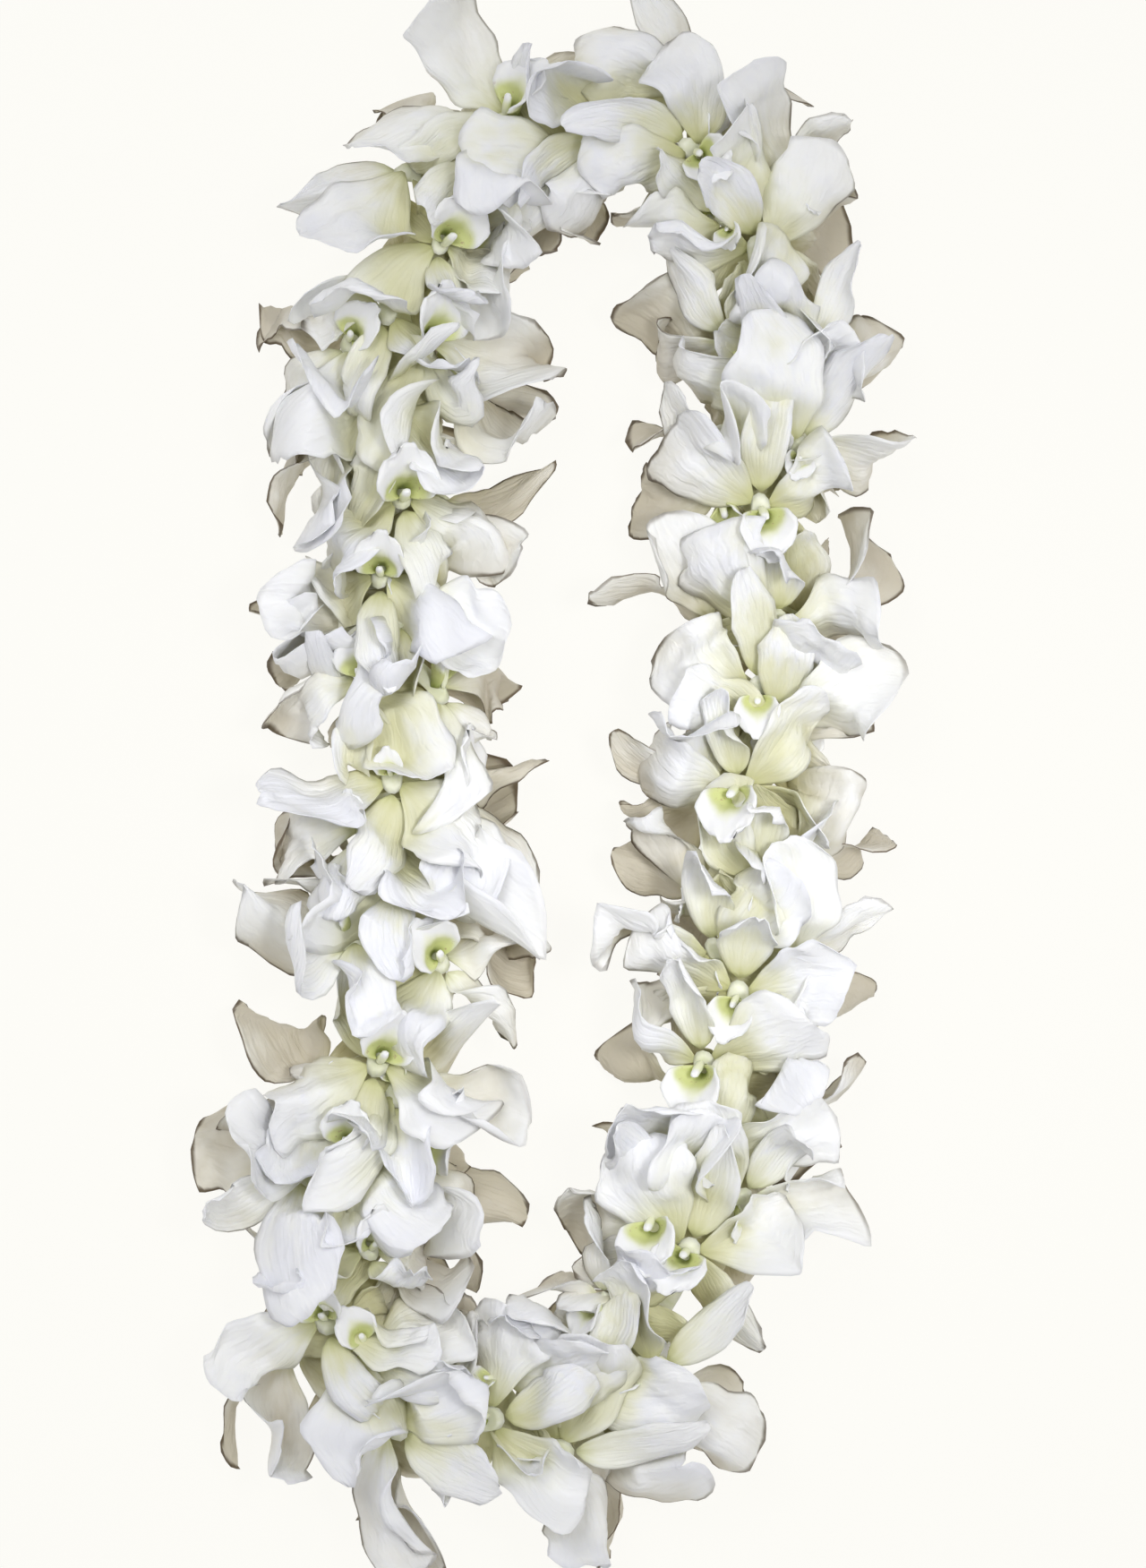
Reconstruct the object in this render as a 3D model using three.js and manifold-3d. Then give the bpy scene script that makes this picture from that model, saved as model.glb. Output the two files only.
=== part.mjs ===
// A white dendrobium orchid lei: a closed loop of cotton thread through eighty-eight fresh blossoms.
// The blossoms sit in back-to-back pairs, and every tepal sweeps the same way along the thread.
// Millimetres, +Z up. The lei lies on the plane z = 0, seen from above with its rounded end towards +Y.
import * as THREE from 'three';
import { mergeVertices } from 'three/addons/utils/BufferGeometryUtils.js';
import Module from 'manifold-3d';

const wasm = await Module();
wasm.setup();

// The thread's route in plan, anticlockwise from the rounded end: control points of a closed cubic spline.
const route = [
  [19.5, 219], [-15.5, 208], [-43.5, 187], [-53.5, 158], [-55.5, 111], [-54.5, 50], [-54.5, -7],
  [-54.5, -65], [-59.5, -107], [-70.5, -151], [-66.5, -181], [-45.5, -202], [-11.5, -206], [20.5, -187],
  [36.5, -157], [46.5, -116], [56.5, -68], [64.5, -7], [65.5, 50], [67.5, 111], [67.5, 155], [55.5, 196],
];
const routeSamples = 2400;
const threadHeight = 28;
const threadRadius = 0.6;
const threadSides = 4;
const threadGap = 0.45; // from the thread's corners to the corners of the hole through a blossom
const knotRoom = 10; // length of bare thread left for the knot
const knotRadius = 1.9;
const knotStretch = 2.2; // how much longer the knot is than it is wide

const pairCount = 44;
const seed = 12;
const tubeRadius = 37; // where most tepal tips end, from the thread
const tubeHeight = 0.8; // height and breadth of the blossoms against a round ring of them
const tubeBreadth = 1.13;
const lowerFullness = 0.2; // how much broader still they are at the end away from the rounded one
const tableSoftness = 1.6; // how sharply tepals bend where they meet the table
const tableSink = 1.1; // how far the lowest tips would reach below it

// Tepals curve along the thread, by rakeReach mm at the tube's radius, and blossoms lean that way at the top.
const rakeReach = 22;
const rakePower = 1.7;
const topLean = 0.95;
const bendSqueeze = 0.4; // how far tepals draw in on the inside of a bend

// Slow waves round the loop that tilt and ruffle neighbours together: size in mm, waves in the loop, phase.
const sway = {
  tiltIn: [8, 7, 2.8],
  tiltUp: [7, 8, 3.3],
  saddle: [4, 9, 5.5],
  saddleTurned: [4, 6, 3.2],
  trefoil: [2, 10, 4.8],
  trefoilTurned: [2, 11, 0.9],
};

// Each kind of tepal: length and half width in plan, how its outline fills out, and its stations along it.
const petal = { reach: 31.5, halfWidth: 14, fill: [0.95, 0.5], stations: [0, 0.32, 0.62, 0.87] };
const sepal = { reach: 27.5, halfWidth: 7, fill: [0.55, 0.7], stations: [0, 0.46] };
const tepalThickness = 1.2;
const rootHalfWidth = 0.7;
const throatOffset = 10; // from the thread to the middle of a blossom's face
const rootOffset = 3.2; // from there to the roots of its tepals

// Pairs turn on round the thread one after another, and the two blossoms of a pair face away from each other.
const facingStep = 97;
const facingPlay = 20;
const oppositePlay = 15;

// The five tepals of a blossom: the way each points from the way the blossom faces, in degrees.
const blossomPlan = [
  { kind: petal, turn: 72 },
  { kind: petal, turn: -72 },
  { kind: sepal, turn: 0 },
  { kind: sepal, turn: 144 },
  { kind: sepal, turn: -144 },
];

// A pair shares its length of thread in layers from 0 to 2, each blossom's petals in front of its sepals.
const layers = [
  new Map([[petal, { root: 0.42, tip: 0.27 }], [sepal, { root: 0.58, tip: 0.74 }]]),
  new Map([[petal, { root: 1.42, tip: 1.26 }], [sepal, { root: 1.58, tip: 1.73 }]]),
];
const layerPlay = 0.11;

// How much tepals differ: direction in degrees, length and width as shares, sideways curve of the tip in mm.
const headingPlay = 9;
const reachPlay = 0.08;
const widthPlay = 0.12;
const sweepPlay = 3.5;
const strayReach = 0.3; // how much longer the few are that stick out

// The throats and chins of a pair, back to back: a core from one blossom's middle past the thread to the other's.
const core = [
  { layer: 0.19, radius: 4.6, offset: throatOffset, facing: 0 },
  { layer: 0.81, radius: 4.6, offset: throatOffset, facing: 0 },
  { layer: 1.19, radius: 4.6, offset: throatOffset, facing: 1 },
  { layer: 1.81, radius: 4.6, offset: throatOffset, facing: 1 },
];
const coreSides = 5;

// The part of the space below the table that trims the lowest tepals flat.
const table = { width: 400, length: 700, depth: 20 };

const radians = Math.PI / 180;

// Numbers from -1 to 1, the same on every run.
function makeSpread(start) {
  let state = start >>> 0;
  return () => {
    state = (Math.imul(state, 1664525) + 1013904223) >>> 0;
    return state / 2147483648 - 1;
  };
}

// A point of the closed cubic spline, with t counted in control points.
function splinePoint(t) {
  const count = route.length;
  const first = Math.floor(t);
  const f = t - first;
  const weights = [
    (1 - f) ** 3 / 6,
    (3 * f ** 3 - 6 * f ** 2 + 4) / 6,
    (-3 * f ** 3 + 3 * f ** 2 + 3 * f + 1) / 6,
    f ** 3 / 6,
  ];
  const point = [0, 0];
  weights.forEach((weight, i) => {
    const [x, y] = route[(first + i - 1 + count) % count];
    point[0] += weight * x;
    point[1] += weight * y;
  });
  return point;
}

// The route measured along its length, so that places on it can be given in mm of thread.
const samples = Array.from({ length: routeSamples + 1 }, (_, i) =>
  splinePoint((i / routeSamples) * route.length),
);
const distances = [0];
for (let i = 1; i <= routeSamples; i += 1) {
  const [x0, y0] = samples[i - 1];
  const [x1, y1] = samples[i];
  distances.push(distances[i - 1] + Math.hypot(x1 - x0, y1 - y0));
}
const threadLength = distances[routeSamples];

function routeAt(along) {
  const s = ((along % threadLength) + threadLength) % threadLength;
  let low = 0;
  let high = routeSamples;
  while (high - low > 1) {
    const middle = (low + high) >> 1;
    if (distances[middle] <= s) low = middle;
    else high = middle;
  }
  const f = (s - distances[low]) / (distances[high] - distances[low]);
  const [x0, y0] = samples[low];
  const [x1, y1] = samples[high];
  return [x0 + f * (x1 - x0), y0 + f * (y1 - y0)];
}

// Place, direction and bend of the thread there. Probing a little either side keeps all three smooth.
function threadAt(along) {
  const probe = 4;
  const [x, y] = routeAt(along);
  const [xa, ya] = routeAt(along - probe);
  const [xb, yb] = routeAt(along + probe);
  const span = Math.hypot(xb - xa, yb - ya);
  const tx = (xb - xa) / span;
  const ty = (yb - ya) / span;
  const bend = (tx * (ya + yb - 2 * y) - ty * (xa + xb - 2 * x)) / probe ** 2;
  return { x, y, tx, ty, bend };
}

// A point near the thread: mm along it, then mm towards the loop's inside and upwards.
function placeAt(along, inward, up) {
  const { x, y, tx, ty, bend } = threadAt(along);
  const lower = (0.5 - 0.5 * Math.cos((2 * Math.PI * along) / threadLength)) ** 3;
  const broad = inward * (tubeBreadth + lowerFullness * lower);
  const side = bend * broad > 0 ? broad - bendSqueeze * bend * broad ** 2 : broad;
  const z = threadHeight + up;
  const lifted = z / 2 + Math.sqrt((z / 2) ** 2 + tableSoftness ** 2) - tableSink;
  return new THREE.Vector3(x - ty * side, y + tx * side, lifted);
}

const pairPitch = (threadLength - knotRoom) / pairCount;

// A point of a pair of blossoms. All pairs bend alike with the distance from the thread, so they nest.
function nestedPoint(pair, layer, inward, up) {
  const base = knotRoom / 2 + (pair + layer / 2) * pairPitch;
  const wave = ([size, count, phase]) => size * Math.sin((2 * Math.PI * count * base) / threadLength + phase);
  const a = inward / tubeRadius;
  const b = up / tubeRadius;
  const ruffle =
    wave(sway.tiltIn) * a +
    wave(sway.tiltUp) * b +
    wave(sway.saddle) * (a ** 2 - b ** 2) +
    wave(sway.saddleTurned) * 2 * a * b +
    wave(sway.trefoil) * (a ** 3 - 3 * a * b ** 2) +
    wave(sway.trefoilTurned) * (3 * a ** 2 * b - b ** 3);
  const rake = rakeReach * (Math.hypot(a, b) ** rakePower) + topLean * up;
  return placeAt(base + rake + ruffle, inward, up * tubeHeight);
}

// Share of the full width at u of the length.
function outline(u, [rise, fall]) {
  const widest = rise / (rise + fall);
  return (u ** rise * (1 - u) ** fall) / (widest ** rise * (1 - widest) ** fall);
}

// A point of a tepal: u from root to tip, v from edge to edge, -1 to 1.
function tepalPoint(tepal, u, v) {
  const halfWidth = rootHalfWidth * (1 - u) ** 2 + tepal.halfWidth * outline(u, tepal.kind.fill);
  const ahead = tepal.reach * u;
  const aside = halfWidth * v + tepal.sweep * u ** 2;
  const cos = Math.cos(tepal.heading);
  const sin = Math.sin(tepal.heading);
  const inward = tepal.startIn + ahead * cos - aside * sin;
  const up = tepal.startUp + ahead * sin + aside * cos;
  return nestedPoint(tepal.pair, tepal.layer + tepal.rise * u + tepal.twist * u * v, inward, up);
}

function growTepal(spread, pair, facing, layer, { kind, turn }) {
  const heading = facing + (turn + headingPlay * spread()) * radians;
  return {
    pair,
    kind,
    layer: layer.root,
    heading,
    startIn: throatOffset * Math.cos(facing) + rootOffset * Math.cos(heading),
    startUp: throatOffset * Math.sin(facing) + rootOffset * Math.sin(heading),
    reach: kind.reach * (1 + reachPlay * spread() + strayReach * spread() ** 8),
    halfWidth: kind.halfWidth * (1 + widthPlay * spread()),
    sweep: sweepPlay * spread(),
    rise: layer.tip - layer.root + layerPlay * spread(),
    twist: layerPlay * spread(),
  };
}

function solidOf(geometry) {
  const skin = mergeVertices(geometry.deleteAttribute('normal').deleteAttribute('uv'));
  const { array } = skin.attributes.position;
  return new wasm.Manifold(
    new wasm.Mesh({ numProp: 3, vertProperties: array, triVerts: new Uint32Array(skin.index.array) }),
  );
}

function solidFrom(points, triangles) {
  const geometry = new THREE.BufferGeometry();
  geometry.setAttribute('position', new THREE.Float32BufferAttribute(points.flatMap((p) => p.toArray()), 3));
  geometry.setIndex(triangles.flat());
  return solidOf(geometry);
}

// A closed skin over rings of points, each ring the same way round as seen looking along the rings.
function loft(rings, tip) {
  const sides = rings[0].length;
  const points = rings.flat();
  const triangles = [];
  const at = (ring, side) => ring * sides + (side % sides);
  for (let ring = 0; ring + 1 < rings.length; ring += 1) {
    for (let side = 0; side < sides; side += 1) {
      triangles.push([at(ring, side), at(ring + 1, side + 1), at(ring + 1, side)]);
      triangles.push([at(ring, side), at(ring, side + 1), at(ring + 1, side + 1)]);
    }
  }
  for (let side = 1; side + 1 < sides; side += 1) triangles.push([0, side + 1, side]);
  const last = rings.length - 1;
  if (tip) {
    points.push(tip);
    const end = points.length - 1;
    for (let side = 0; side < sides; side += 1) triangles.push([at(last, side), at(last, side + 1), end]);
  } else {
    for (let side = 1; side + 1 < sides; side += 1) {
      triangles.push([at(last, 0), at(last, side), at(last, side + 1)]);
    }
  }
  const solid = solidFrom(points, triangles);
  return solid.volume() > 0 ? solid : solidFrom(points, triangles.map(([i, j, k]) => [i, k, j]));
}

// A thin blade, with an edge, the ridge of its midrib and its other edge at each station.
function tepalSolid(tepal) {
  const step = 0.01;
  const rings = tepal.kind.stations.map((u) => {
    const middle = tepalPoint(tepal, u, 0);
    const along = tepalPoint(tepal, u + step, 0).sub(middle);
    const across = tepalPoint(tepal, u, step).sub(middle);
    const ridge = across.cross(along).setLength(tepalThickness);
    return [tepalPoint(tepal, u, -1), middle.add(ridge), tepalPoint(tepal, u, 1)];
  });
  return loft(rings, tepalPoint(tepal, 1, 0));
}

// The core's corners stand between the tepals; the second blossom's are turned by two, to follow the first's.
function coreSolid(pair, facings) {
  const rings = core.map(({ layer, radius, offset, facing }) =>
    Array.from({ length: coreSides }, (_, side) => {
      const angle = facings[facing] + (2 * Math.PI * (side + 0.5 - 2 * facing)) / coreSides;
      const inward = offset * Math.cos(facings[facing]) + radius * Math.cos(angle);
      const up = offset * Math.sin(facings[facing]) + radius * Math.sin(angle);
      return nestedPoint(pair, layer, inward, up);
    }),
  );
  return loft(rings);
}

// The thread's outline, or that of the hole for it, at a place along it.
function threadRing(along, radius) {
  return Array.from({ length: threadSides }, (_, side) => {
    const angle = (2 * Math.PI * (side + 0.5)) / threadSides;
    return placeAt(along, radius * Math.cos(angle), radius * Math.sin(angle));
  });
}

// Thread and holes turn at the same places, twice for each pair, so that they keep clear of one another.
const placeOf = (pair, turn) => knotRoom / 2 + (pair + turn / 2) * pairPitch;

function threadHole(pair) {
  return loft([-1, 0, 1, 2, 3, 4].map((turn) => threadRing(placeOf(pair, turn), threadRadius + threadGap)));
}

function merged(solids) {
  return solids.reduce((whole, solid) => whole.add(solid));
}

const belowTable = solidOf(
  new THREE.BoxGeometry(table.width, table.length, table.depth).translate(0, 0, -table.depth / 2),
);

function pairSolid(pair) {
  const spread = makeSpread(seed + 101 * pair);
  spread();
  const facing = (pair * facingStep + facingPlay * spread()) * radians;
  const facings = [facing, facing + (180 + oppositePlay * spread()) * radians];
  const tepals = layers.flatMap((layerOf, blossom) =>
    blossomPlan.map((plan) => growTepal(spread, pair, facings[blossom], layerOf.get(plan.kind), plan)),
  );
  const blossoms = merged([coreSolid(pair, facings), ...tepals.map(tepalSolid)]);
  return blossoms.subtract(threadHole(pair)).subtract(belowTable);
}

// The loop of thread, its two ends tied in a small round knot.
function threadSolid() {
  const turns = Array.from({ length: 2 * pairCount + 1 }, (_, turn) => placeOf(0, turn));
  const loop = loft([1, ...turns, threadLength - 1].map((along) => threadRing(along, threadRadius)));
  const { tx, ty } = threadAt(0);
  const middle = placeAt(0, 0, 0);
  const knot = new THREE.IcosahedronGeometry(knotRadius, 0).scale(knotStretch, 1, 1);
  knot.rotateZ(Math.atan2(ty, tx)).translate(middle.x, middle.y, middle.z);
  return merged([loop, solidOf(knot)]);
}

function meshOf(name, solid, material) {
  const { vertProperties, triVerts } = solid.getMesh();
  const geometry = new THREE.BufferGeometry();
  geometry.setAttribute('position', new THREE.BufferAttribute(vertProperties, 3));
  geometry.setIndex(new THREE.BufferAttribute(triVerts, 1));
  const mesh = new THREE.Mesh(geometry, material);
  mesh.name = name;
  return mesh;
}

const petalWhite = new THREE.MeshStandardMaterial({ color: 0xf4f4ee, roughness: 0.55, metalness: 0 });
const cottonWhite = new THREE.MeshStandardMaterial({ color: 0xe9e6da, roughness: 0.9, metalness: 0 });

const lei = new THREE.Group();
lei.add(meshOf('thread', threadSolid(), cottonWhite));
for (let pair = 0; pair < pairCount; pair += 1) {
  const number = String(pair + 1).padStart(2, '0');
  lei.add(meshOf(`blossoms_${number}`, pairSolid(pair), petalWhite));
}

export default lei;
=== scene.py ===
import math
from itertools import product
import bpy
import numpy as np
from mathutils import Matrix, Vector
from mathutils.bvhtree import BVHTree


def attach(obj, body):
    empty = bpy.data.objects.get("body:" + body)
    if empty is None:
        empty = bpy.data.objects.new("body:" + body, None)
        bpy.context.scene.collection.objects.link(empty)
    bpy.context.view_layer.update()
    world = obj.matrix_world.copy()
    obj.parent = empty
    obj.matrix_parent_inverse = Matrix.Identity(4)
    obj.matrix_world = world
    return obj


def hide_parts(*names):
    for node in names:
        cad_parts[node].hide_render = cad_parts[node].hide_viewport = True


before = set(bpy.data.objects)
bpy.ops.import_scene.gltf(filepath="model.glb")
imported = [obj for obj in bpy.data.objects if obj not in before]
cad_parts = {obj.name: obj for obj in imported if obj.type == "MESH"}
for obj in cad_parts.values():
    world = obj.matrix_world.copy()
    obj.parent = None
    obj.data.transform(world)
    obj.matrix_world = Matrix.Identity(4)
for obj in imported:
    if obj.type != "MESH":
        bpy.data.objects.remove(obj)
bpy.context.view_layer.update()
metre = 0.001  # the rule below is in millimetres, the scene in metres

# The strand: a closed loop of thread with forty-four back-to-back pairs of blossoms, laid on a table.
strand = {
    "route": [
        (19.5, 225), (-16.5, 213), (-45.5, 190), (-54.5, 160), (-55.5, 111), (-54.5, 50),
        (-54.5, -7), (-54.5, -65), (-62.5, -108), (-75.5, -151), (-70.5, -182), (-47.5, -203),
        (-11.5, -206), (20.5, -187), (39.0, -157), (49.5, -116), (56.5, -68), (64.5, -7),
        (65.5, 50), (67.5, 111), (67.5, 158), (57.5, 201),
    ],
    "routeSamples": 2400,
    "nearStep": 12,  # of these samples, for the nearest point of the thread
    "height": 28.0,
    "knotRoom": 10.0,
    "pairs": 44,
    "seed": 12,
    "seedStep": 101,
    "shapeSeed": 7000,
    "shapeSeedStep": 37,
    "tubeRadius": 37.0,
    "tubeHeight": 0.8,
    "tubeBreadth": 1.2,  # a little more than the solids have, as the finer tepals curl
    "lowerFullness": 0.34,  # how much broader it is at the lower end
    "lowerPower": 3,
    "tableSoftness": 1.6,
    "tableSink": 1.1,
    "rakeReach": 22.0,
    "rakePower": 1.7,
    "topLean": 0.95,
    "bendSqueeze": 0.4,
    # Each wave's size, how often it goes round the loop, and its phase.
    "waves": [(8, 7, 2.8), (7, 8, 3.3), (4, 9, 5.5), (4, 6, 3.2), (2, 10, 4.8), (2, 11, 0.9)],
}


# Even draws from -1 to 1, the same in every run.
def makeSpread(start):
    state = start & 0xFFFFFFFF

    def draw():
        nonlocal state
        state = (state * 1664525 + 1013904223) & 0xFFFFFFFF
        return state / 2147483648 - 1

    return draw


# The smooth curve along the route, a cubic B-spline.
def splinePoints(t):
    route = np.array(strand["route"], float)
    first = np.floor(t).astype(int)
    f = t - first
    weights = [
        (1 - f) ** 3 / 6, (3 * f**3 - 6 * f**2 + 4) / 6,
        (-3 * f**3 + 3 * f**2 + 3 * f + 1) / 6, f**3 / 6,
    ]
    return sum(w[:, None] * route[(first + i - 1) % len(route)] for i, w in enumerate(weights))


routeSamples = splinePoints(np.linspace(0, len(strand["route"]), strand["routeSamples"] + 1))
routeDistances = np.concatenate([[0], np.cumsum(np.hypot(*np.diff(routeSamples, axis=0).T))])
threadPoints = np.column_stack([routeSamples, np.full(len(routeSamples), strand["height"])])
threadLength = routeDistances[-1]
pairPitch = (threadLength - strand["knotRoom"]) / strand["pairs"]


def routeAt(along):
    s = np.mod(along, threadLength)
    return (np.interp(s, routeDistances, values) for values in routeSamples.T)


# A place on the thread, its direction and how sharply it bends there.
def threadAt(along):
    probe = 4
    x, y = routeAt(along)
    xa, ya = routeAt(along - probe)
    xb, yb = routeAt(along + probe)
    span = np.hypot(xb - xa, yb - ya)
    tx, ty = (xb - xa) / span, (yb - ya) / span
    bend = (tx * (ya + yb - 2 * y) - ty * (xa + xb - 2 * x)) / probe**2
    return x, y, tx, ty, bend


# A place beside the thread, with the table under it and the inside of a bend drawn in.
def placeAt(along, inward, up):
    x, y, tx, ty, bend = threadAt(along)
    lower = (0.5 - 0.5 * np.cos(math.tau * along / threadLength)) ** strand["lowerPower"]
    broad = inward * (strand["tubeBreadth"] + strand["lowerFullness"] * lower)
    side = broad / (1 + strand["bendSqueeze"] * np.maximum(bend * broad, 0))
    z = strand["height"] + up
    lifted = z / 2 + np.sqrt((z / 2) ** 2 + strand["tableSoftness"] ** 2) - strand["tableSink"]
    return np.stack([x - ty * side, y + tx * side, lifted], axis=-1)


# The rule that the solids follow too: each layer is the next one moved along, so that they nest.
def nestedPoint(pair, layer, inward, up):
    base = strand["knotRoom"] / 2 + (pair + layer / 2) * pairPitch
    tiltIn, tiltUp, saddle, saddleTurned, trefoil, trefoilTurned = (
        size * np.sin(math.tau * count * base / threadLength + phase)
        for size, count, phase in strand["waves"]
    )
    a, b = inward / strand["tubeRadius"], up / strand["tubeRadius"]
    ruffle = (
        tiltIn * a + tiltUp * b + saddle * (a**2 - b**2) + saddleTurned * 2 * a * b
        + trefoil * (a**3 - 3 * a * b**2) + trefoilTurned * (3 * a**2 * b - b**3)
    )
    rake = strand["rakeReach"] * np.hypot(a, b) ** strand["rakePower"] + strand["topLean"] * up
    return placeAt(base + rake + ruffle, inward, up * strand["tubeHeight"])


print("strand:", round(threadLength, 1), "mm of thread")

# Tepals: their plan, then what makes each one its own. Angles in degrees, layers in halves of a pair's pitch.
blossom = {
    "facingStep": 97,
    "facingPlay": 20,
    "oppositePlay": 15,
    "throatOffset": 10.0,
    "rootOffset": 2.2,
    "rootHalfWidth": 0.7,
    "plan": [("petal", 72), ("petal", -72), ("sepal", 0), ("sepal", 144), ("sepal", -144)],
    "layers": [
        {"petal": (0.42, 0.27), "sepal": (0.58, 0.74)},
        {"petal": (1.42, 1.26), "sepal": (1.58, 1.73)},
    ],
    "layerPlay": 0.11,
    "headingPlay": 9,
    "reachPlay": 0.08,
    "strayReach": 0.15,  # a few tepals stand out from the rest
    "strayPower": 8,
    "widthPlay": 0.12,
    "sweepPlay": 3.5,
    "openness": 3.5,  # how much further out the finer blossoms sit than the solid ones
    "upwardTurn": 0.75,  # radians by which those at the sides look up
    "freeHeading": math.radians(9),
    "crumpled": (1.55, 1.12),  # left strand, the rest
    "crumpledFrom": (0, 3),  # pairs
    "crumpledTo": (18, 22),
}
throat = blossom["throatOffset"] + blossom["openness"]
tepalKinds = {
    "petal": {
        "reach": 31.5, "halfWidth": 15.2, "fill": (0.95, 0.44), "corner": 0.86, "stations": 18, "lanes": 14,
        "length": 33.0, "bend": 1.0, "cup": 0.3, "fold": 1.92, "jag": 0.0675, "creases": 4, "crease": 21.0,
        "ripple": 2.2, "curl": 9.6, "twist": 0.7, "bow": 4.0, "point": 0.06, "furrow": 0.4, "crumple": 0.7,
    },
    "sepal": {
        "reach": 27.5, "halfWidth": 8.9, "fill": (0.72, 0.6), "corner": 0.88, "stations": 14, "lanes": 8,
        "length": 32.0, "bend": 1.2, "cup": 0.38, "fold": 1.32, "jag": 0.0525, "creases": 2, "crease": 14.0,
        "ripple": 1.2, "curl": 13.6, "twist": 1.1, "bow": 5.5, "point": 0.12, "furrow": 0.3, "crumple": 0.5,
    },
}


# Half the width of a tepal along its length, 1 where it is widest.
def outline(u, fill):
    rise, fall = fill
    widest = rise / (rise + fall)
    return u**rise * np.clip(1 - u, 0, 1) ** fall / (widest**rise * (1 - widest) ** fall)


# Where a tepal starts, which way it points and what makes its plan its own.
def growTepal(draw, pair, facing, layer, kind, turn):
    heading = facing + math.radians(turn + blossom["headingPlay"] * draw())
    stray = blossom["reachPlay"] * draw() + blossom["strayReach"] * draw() ** blossom["strayPower"]
    return {
        "pair": pair,
        "kind": kind,
        "layer": layer[0],
        "heading": heading,
        "startIn": throat * math.cos(facing) + blossom["rootOffset"] * math.cos(heading),
        "startUp": throat * math.sin(facing) + blossom["rootOffset"] * math.sin(heading),
        "reach": kind["reach"] * (1 + stray),
        "halfWidth": kind["halfWidth"] * (1 + blossom["widthPlay"] * draw()),
        "sweep": blossom["sweepPlay"] * draw(),
        "rise": layer[1] - layer[0] + blossom["layerPlay"] * draw(),
        "twist": blossom["layerPlay"] * draw(),
    }


# A pair of blossoms, back to back: which way each one faces, and their ten tepals.
def growPair(pair):
    draw = makeSpread(strand["seed"] + strand["seedStep"] * pair)
    draw()
    facing = math.radians(pair * blossom["facingStep"] + blossom["facingPlay"] * draw())
    facings = [facing, facing + math.radians(180 + blossom["oppositePlay"] * draw())]
    facings = [f - blossom["upwardTurn"] * math.sin(f - math.pi / 2) for f in facings]
    tepals = [
        growTepal(draw, pair, facings[i], layers[name], tepalKinds[name], turn)
        for i, layers in enumerate(blossom["layers"])
        for name, turn in blossom["plan"]
    ]
    return facings, tepals


def unit(vectors):
    return vectors / np.linalg.norm(vectors, axis=-1, keepdims=True)


# 0 below low, 1 above high, smooth between.
def ramp(values, low, high):
    t = np.clip((values - low) / (high - low), 0, 1)
    return t * t * (3 - 2 * t)


# Bends flat what would go below the table or too high.
def settle(points, low=0.4, soft=0.5, high=64.0, softTop=8.0):
    z = points[..., 2] - low
    z = low + z / 2 + np.sqrt((z / 2) ** 2 + soft**2 / 4)
    below = high - z
    points[..., 2] = high - (below / 2 + np.sqrt((below / 2) ** 2 + softTop**2 / 4)) + softTop**2 / (4 * high)
    return points


# How folded the blossoms of a pair are: most of all down the left side, where the thread begins.
def crumpled(pair):
    left, rest = blossom["crumpled"]
    inside = ramp(pair, *blossom["crumpledFrom"]) * (1 - ramp(pair, *blossom["crumpledTo"]))
    return rest + (left - rest) * float(inside)


# How a tepal's middle line differs from the rule. Two numbers: a middle value and its play, or a span.
midline = {
    "steps": 48,
    "slack": 0.25,  # share of a line's spare length that is kept
    "curlBias": 0.25,
    "curlSpan": (0.25, 1.25),
    "curlPower": 1.6,
    "arch": 1.8,
    "hinge": (0.55, 0.2),  # where it folds back
    "hingeSoftness": 0.14,
    "calmest": 0.1,  # the table holds the lowest ones flat
    "calmHeights": (4, 15),
    "twistPower": 1.3,
    "evenRounds": 10,
}


def varied(values, draw):
    return values[0] + values[1] * draw()


def sampled(places, stations, rows):
    return np.stack([np.interp(places, stations, rows[:, i]) for i in range(3)], axis=-1)


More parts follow.
